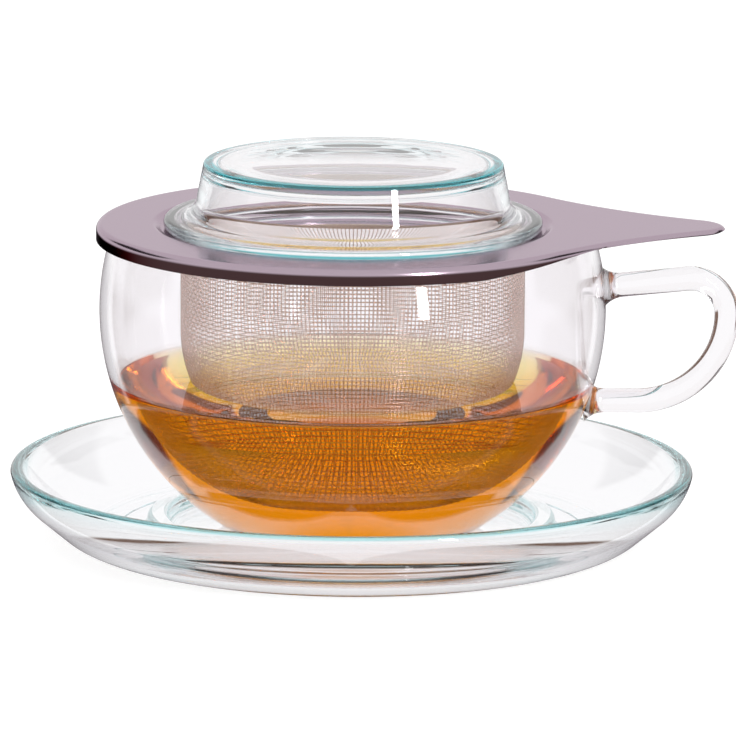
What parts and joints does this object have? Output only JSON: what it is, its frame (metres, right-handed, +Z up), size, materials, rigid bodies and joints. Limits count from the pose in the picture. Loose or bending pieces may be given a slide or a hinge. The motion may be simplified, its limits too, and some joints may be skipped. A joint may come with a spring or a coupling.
{
  "type": "lidded tea cup with infuser and saucer",
  "caption": "Glass tea cup with a fused loop handle on a glass saucer, with a lift-out steel mesh infuser that hangs on the mouth and a lift-off glass lid that seats in its plate.",
  "frame": {"origin": "centre of the saucer's foot ring, on the surface that it stands on", "axes": "+Z up along the common axis of saucer, cup, infuser and lid; +X towards the cup's handle and the infuser's leaf-shaped handle"},
  "size_m": [0.1704, 0.16, 0.0905],
  "materials": {
    "clear_glass": "fire-polished clear glass, teal at thick edges",
    "steel_sheet": "satin, brushed along the leaf",
    "steel_mesh": "plain woven wire, bright drawn"
  },
  "bodies": {
    "saucer": {"saucer": "clear_glass"},
    "cup": {"cup_bowl": "clear_glass", "cup_handle": "clear_glass"},
    "infuser": {"infuser_plate": "steel_sheet", "mesh_basket": "steel_mesh", "mesh_clamp_ring": "steel_sheet"},
    "lid": {"glass_lid": "clear_glass"}
  },
  "joints": [
    {"name": "cup_lift", "type": "slide", "parent": "saucer", "child": "cup", "axis": [0, 0, 1], "range_m": [0, 0.06]},
    {"name": "infuser_lift", "type": "slide", "parent": "cup", "child": "infuser", "axis": [0, 0, 1], "range_m": [0, 0.075]},
    {"name": "lid_lift", "type": "slide", "parent": "infuser", "child": "lid", "axis": [0, 0, 1], "range_m": [0, 0.05]}
  ]
}
